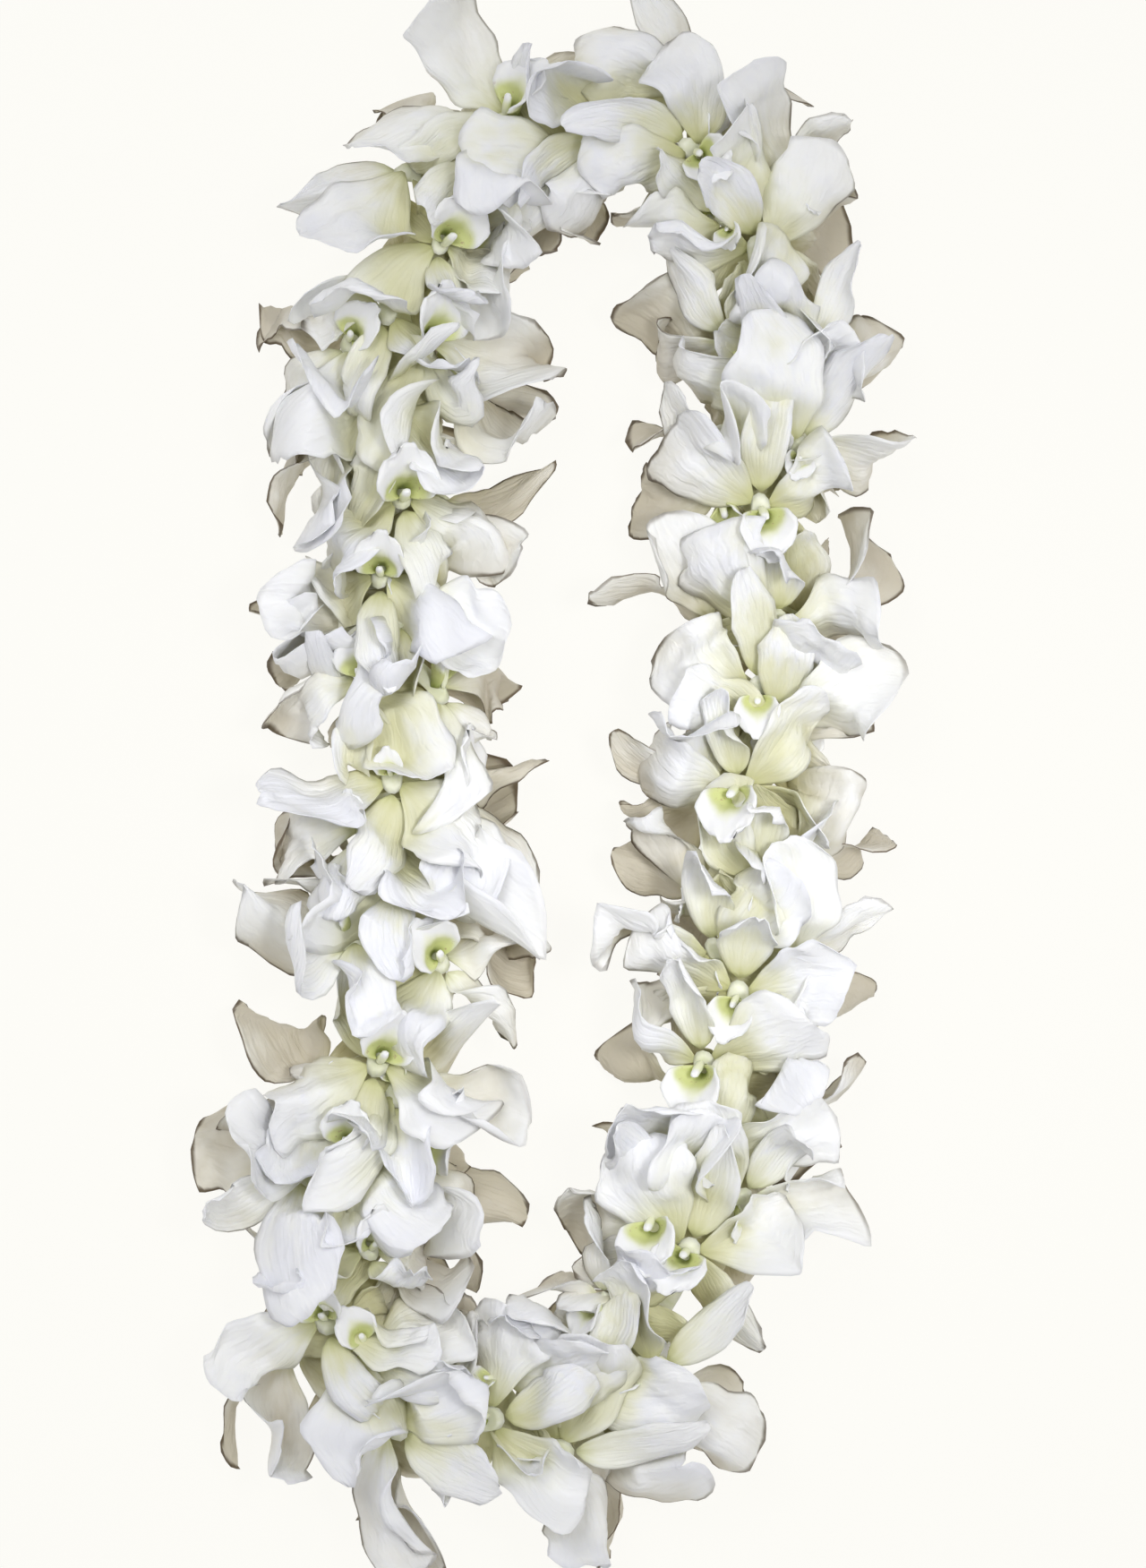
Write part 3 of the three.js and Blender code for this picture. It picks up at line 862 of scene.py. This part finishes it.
# A lip: a tube at its root that opens into two side lobes and one waved tongue, with the column over it.
# It runs along X, its floor down.
def lipTree():
    tree, (points, length, droop, ruffle, finish) = startGroup("lip", lipSizes)
    sides = {"Size X": 1.0, "Size Y": 1.0, "Vertices X": lipShape["rows"], "Vertices Y": lipShape["lanes"]}
    grid = tree.add("GeometryNodeMeshGrid", None, sides)
    spot = tree.add("GeometryNodeInputPosition")
    px, py, pz = (tree.part(spot, axis) for axis in range(3))
    marked = stored(tree, stored(tree, grid, "along", px + 0.5), "across", py * 2)
    along, across = named(tree, "along"), named(tree, "across")
    root, lobes, tip = lipShape["spread"]
    spread = root + lobes * tree.ramp(along, 0.0, 0.45) - tip * tree.ramp(along, 0.62, 1.04)
    root, lobes, tip = lipShape["wrap"]
    wrap = root - lobes * tree.ramp(along, 0.05, 0.4) - tip * tree.ramp(along, 0.4, 0.85)
    radius = spread / wrap
    turn = across * wrap
    far = abs(across)
    waves = tree.math("SINE", along * 21 + across * 7) * far * far * tree.ramp(along, 0.45, 0.8) * ruffle
    keeled = tree.ramp(along, 0.1, 0.4) * (1 - tree.ramp(along, 0.7, 0.9)) * (1 - far)
    keel = tree.math("COSINE", across * 14) * keeled * lipShape["keel"]
    y = radius * tree.math("SINE", turn)
    z = radius * (1 - tree.math("COSINE", turn)) - droop * tree.ramp(along, 0.5, 1.1) ** 1.4 + waves + keel
    x = length * (along + 0.05 * tree.ramp(along, 0.75, 1.0) * (1 - far))
    lip = thicken(tree, tree.moved(marked, Position=tree.vector(x, y, z)), lipShape["thickness"])
    ball = tree.add("GeometryNodeMeshUVSphere", None, {"Segments": 12, "Rings": 9, "Radius": 1.0})
    cap = 1 + column["capFlare"] * tree.ramp(px, 0.45, 0.75)
    parts = zip(column["centre"], column["halfSize"], (px, py * cap, pz * cap))
    swollen = tree.vector(*(middle + half * part for middle, half, part in parts))
    ballMarked = stored(tree, stored(tree, ball, "along", 2 + px * 0.5), "across", py)
    placed = tree.add("GeometryNodeInstanceOnPoints", None, {
        "Points": points,
        "Instance": tree.joined(lip, tree.moved(ballMarked, Position=swollen)),
        "Rotation": named(tree, "turn", "FLOAT_VECTOR"),
        "Scale": named(tree, "size", "FLOAT_VECTOR"),
    })
    return endGroup(tree, placed, finish)


threadSizes = {"Ply Radius": 0.0003, "Pitch": 0.0034, "Step": 0.0008}
plyCount = 3


# A thread of three plies wound round a line.
def threadTree():
    tree, (line, plyRadius, pitch, step, finish) = startGroup("thread", threadSizes)
    curve = tree.add("GeometryNodeMeshToCurve", None, {"Mesh": line})
    curve = tree.add("GeometryNodeResampleCurve", {"mode": "LENGTH"}, {"Curve": curve, "Length": step})
    factor = tree.add("GeometryNodeSplineParameter")
    whole = tree.math("ROUND", tree.add("GeometryNodeSplineLength") / pitch)
    normal = tree.add("GeometryNodeInputNormal")
    tangent = tree.add("GeometryNodeInputTangent")
    side = tree.add("ShaderNodeVectorMath", {"operation": "CROSS_PRODUCT"}, {0: tangent, 1: normal})
    plies = []
    for ply in range(plyCount):
        angle = factor * whole * math.tau + ply * math.tau / plyCount
        first = tree.scaled(normal, plyRadius * tree.math("COSINE", angle))
        second = tree.scaled(side, plyRadius * tree.math("SINE", angle))
        offset = tree.add("ShaderNodeVectorMath", {"operation": "ADD"}, {0: first, 1: second})
        plies.append(tree.moved(curve, Offset=offset))
    ring = tree.add("GeometryNodeCurvePrimitiveCircle", None, {"Resolution": 6, "Radius": plyRadius})
    sockets = {"Curve": tree.joined(*plies), "Profile Curve": ring, "Fill Caps": True}
    return endGroup(tree, tree.add("GeometryNodeCurveToMesh", None, sockets), finish)


# Grows a piece from a plain mesh by one of the trees above, and leaves it as a mesh.
def grown(name, source, group, sizes, finish):
    modifier = source.modifiers.new("grow", "NODES")
    modifier.node_group = group
    sockets = {item.name: item.identifier for item in group.interface.items_tree if item.in_out == "INPUT"}
    for label, value in {**sizes, "Material": finish}.items():
        modifier[sockets[label]] = value
    bpy.context.view_layer.update()
    evaluated = source.evaluated_get(bpy.context.evaluated_depsgraph_get())
    mesh = bpy.data.meshes.new_from_object(evaluated)
    source.modifiers.remove(modifier)
    old, source.data = source.data, mesh
    bpy.data.meshes.remove(old)
    mesh.name = source.name = name
    return source


tepalFinish = tepalTree()
sheets, sheetPairs = [], []
for pair in range(strand["pairs"]):
    draw = makeSpread(strand["shapeSeed"] + strand["shapeSeedStep"] * pair)
    for tepal in growPair(pair)[1]:
        sheet = shapeTepal(tepal, draw)
        sheet["tone"] = np.full(sheet["along"].shape, 0.5 + 0.5 * draw())
        sheets.append(sheet)
        sheetPairs.append(pair)
print("tepals: shaped")
separate(sheets, sheetPairs)
print("tepals: moved apart")
rootBulk = {"most": 1.0, "fade": 5}  # a tepal is thicker at its root
allPoints, allFaces = [], []
for pair in range(strand["pairs"]):
    points, faces, own = [], [], [sheet for sheet, owner in zip(sheets, sheetPairs) if owner == pair]
    for sheet in own:
        index = sum(map(len, points)) + np.arange(sheet["along"].size).reshape(sheet["along"].shape)
        corners = [index[:-1, :-1], index[:-1, 1:], index[1:, 1:], index[1:, :-1]]
        faces += np.stack(corners, -1).reshape(-1, 4).tolist()
        sheet["bulk"] = 1 + rootBulk["most"] * np.clip(1 - rootBulk["fade"] * sheet["along"], 0, 1)
        outwards = np.linalg.norm(sheet["points"] - threadNear(sheet["points"]), axis=-1)
        sheet["depth"] = outwards / strand["tubeRadius"]
        points.append(sheet["points"].reshape(-1, 3))
    allFaces += [[i + sum(map(len, allPoints)) for i in face] for face in faces]
    allPoints.append(np.concatenate(points))
    marks = {
        label: np.concatenate([sheet[label].ravel() for sheet in own])
        for label in ("along", "across", "tone", "rim", "bulk", "depth")
    }
    source = meshObject("sheet", allPoints[-1], faces, marks)
    piece = grown(f"petals_{pair + 1:02d}", source, tepalFinish, tepalSizes, petalWhite)
    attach(piece, "root")
    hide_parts(f"blossoms_{pair + 1:02d}")
print("tepals: done")

# Lips: one point for each blossom, in the middle of its face, turned out of the crowd.
lipPlace = {
    # What is tried: the tilt forward from the blossom's face, the share away from the thread, the sway.
    "tries": ((0.2, 0.6, 1.0), (0.2, 0.5, 0.9), (-0.35, 0, 0.35)),
    "length": 21.0,
    "halfWidth": 5.0,
    "feelers": ((0, 0), (1, 0.6), (-1, 0.6), (0.6, -0.3), (-0.6, -0.3), (0, 1)),
    "feltFrom": 3.5,
    "shortest": 4,  # how many of the shortest feelers count
    "spare": 4,
    "smallest": 0.55,
    "sizePlay": 0.1,
    "layerAhead": 0.02,
    "ahead": 1.2,
    "sunk": 3.0,
    "seed": 911,
}
around = BVHTree.FromPolygons(np.concatenate(allPoints).tolist(), allFaces)


# How far a lip can reach before it meets a tepal.
def clearRun(start, forward, sideways, upward):
    runs = []
    for aside, high in lipPlace["feelers"]:
        off = lipPlace["halfWidth"] * (aside * sideways + high * upward)
        origin = start + lipPlace["feltFrom"] * forward + off
        met = around.ray_cast(Vector(origin), Vector(forward), lipPlace["length"])[3]
        runs.append(met or lipPlace["length"])
    return float(np.mean(np.sort(runs)[: lipPlace["shortest"]]))


# The middle of a blossom, the direction of its upper tepal, and that of its face.
def blossomFace(pair, which, facing):
    cos, sin = math.cos(facing), math.sin(facing)
    layer = blossom["layers"][which]["petal"][0] - lipPlace["layerAhead"]

    def at(ahead, aside):
        out = throat + ahead
        return nestedPoint(pair, layer, out * cos - aside * sin, out * sin + aside * cos)

    dorsal = unit(at(1, 0) - at(-1, 0))
    return at(0, 0), dorsal, unit(np.cross(at(0, 1) - at(0, -1), dorsal))


spots, turns, sizes, chinParts, chinFaces = [], [], [], [], []
draw = makeSpread(lipPlace["seed"])
for pair in range(strand["pairs"]):
    facings = growPair(pair)[0]
    for which, facing in enumerate(facings):
        middle, dorsal, face = blossomFace(pair, which, facing)
        outward = unit(middle - threadNear(middle[None])[0])
        sideways = np.cross(face, dorsal)
        options = []
        for tilt, share, sway in product(*lipPlace["tries"]):
            lean = face * math.cos(tilt) - dorsal * math.sin(tilt)
            forward = unit(lean + share * outward + sway * sideways)
            upward = unit(dorsal - forward * (dorsal @ forward))
            options.append((clearRun(middle, forward, np.cross(upward, forward), upward), forward, upward))
        run, forward, upward = max(options, key=lambda option: option[0])
        turn = Matrix(np.column_stack([forward, np.cross(upward, forward), upward]).tolist()).to_euler()
        size = min(1, max(lipPlace["smallest"], (run + lipPlace["spare"]) / lipPlace["length"]))
        size *= 1 + lipPlace["sizePlay"] * draw()
        spots.append(middle + lipPlace["ahead"] * forward - lipPlace["sunk"] * upward)
        turns.append(turn)
        sizes.append([size] * 3)
    part, faces = chinPoints(pair, facings)
    chinFaces += [[index + sum(map(len, chinParts)) for index in face] for face in faces]
    chinParts.append(part)
spotPoints = meshObject("spots", spots, marks={"turn": turns, "size": sizes})
lips = grown("lips", spotPoints, lipTree(), lipSizes, lipMaterial())
chins = meshObject("chins", np.concatenate(chinParts), chinFaces)
chins.data.materials.append(chinMaterial())
for piece in (lips, chins):
    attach(piece, "root")
print("lips and chins: done")

# The thread with its knot: the route, and a short tail pulled round it.
knot = {"radius": 1.5, "length": 4.0, "turns": 2.25, "tail": 9.0, "tailShare": 0.12, "points": 60}
routeStep = 3  # samples of the route
line = threadPoints[:-1:routeStep]
t = np.linspace(0, 1, knot["points"])
x, y, tx, ty, _ = threadAt(np.zeros(1))
wound = math.tau * knot["turns"] * t
ends = (np.clip((knot["tailShare"] - end) / knot["tailShare"], 0, 1) ** 2 for end in (t, 1 - t))
out = knot["radius"] + knot["tail"] * sum(ends)
aside, slide = out * np.cos(wound), knot["length"] * (t - 0.5)
tail = np.column_stack([
    x + tx * slide - ty * aside,
    y + ty * slide + tx * aside,
    strand["height"] + out * np.sin(wound),
])
edges = [(i, (i + 1) % len(line)) for i in range(len(line))]
edges += [(len(line) + i, len(line) + i + 1) for i in range(len(tail) - 1)]
route = meshObject("route", np.concatenate([line, tail]), edges=edges)
cotton = grown("twisted_thread", route, threadTree(), threadSizes, cottonMaterial())
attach(cotton, "root")
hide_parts("thread")
print("thread: done")

# Camera straight above, as in the photograph, with its full height of 0.5078 m at the lei's middle.
view = {"centre": (0.00395, 0.0043), "height": 0.5078, "level": 0.035, "distance": 2.0}
cameraData = bpy.data.cameras.new("camera")
cameraData.lens = cameraData.sensor_width * view["distance"] / view["height"]
cameraData.clip_end = 10 * view["distance"]
camera = objectFrom("camera", cameraData)
camera.location = (*view["centre"], view["level"] + view["distance"])
bpy.context.scene.camera = camera

# A pale floor that glows a little, as the photograph's background has no shadows.
floorLook = {
    "half": 4000,
    "paper": (0.05, 0.0497, 0.049, 1),
    "constants": {
        "Specular IOR Level": 0.0, "Emission Color": (1, 0.99, 0.945, 1), "Emission Strength": 0.94,
    },
}
half = floorLook["half"]
corners = [(-half, -half, 0), (half, -half, 0), (half, half, 0), (-half, half, 0)]
floor = meshObject("floor", corners, [(0, 1, 2, 3)])
paper = endMaterial(startMaterial("pale_floor"), floorLook["paper"], 0.9, (0, 0, 0), floorLook["constants"])
floor.data.materials.append(paper)

# Two soft lamps, and a pool of light on the middle of the lei, as its ends are dimmer in the photograph.
# Each one's kind, its place, what it points at and its settings.
lamps = {
    "top": ("AREA", (-0.6, 0.9, 2.3), (0, 0, 0), {"size": 1.2, "energy": 19}),
    "side": ("AREA", (1.8, -0.6, 1.5), (0, 0, 0), {"size": 1.6, "energy": 5, "color": (1, 0.98, 0.95)}),
    "pool": (
        "SPOT", (0.42, 0.02, 1.25), (0.035, -0.015, 0.04),
        {"energy": 33, "spot_size": 0.43, "spot_blend": 1.0, "shadow_soft_size": 0.15},
    ),
}
for name, (kind, place, aim, settings) in lamps.items():
    lamp = bpy.data.lights.new(name, kind)
    for key, value in settings.items():
        setattr(lamp, key, value)
    light = objectFrom(name, lamp)
    light.location = place
    light.rotation_euler = (Vector(aim) - Vector(place)).to_track_quat("-Z", "Y").to_euler()

sky = {"colour": (1, 1, 1, 1), "strength": 0.42}
world = bpy.data.worlds.new("studio")
bpy.context.scene.world = world
world.use_nodes = True
worldTree = Tree(world.node_tree)
background = worldTree.add("ShaderNodeBackground", None, {0: sky["colour"], 1: sky["strength"]})
worldTree.add("ShaderNodeOutputWorld", None, {0: background})
bpy.context.scene.view_settings.view_transform = "Standard"
print("camera, floor and lamps: done")
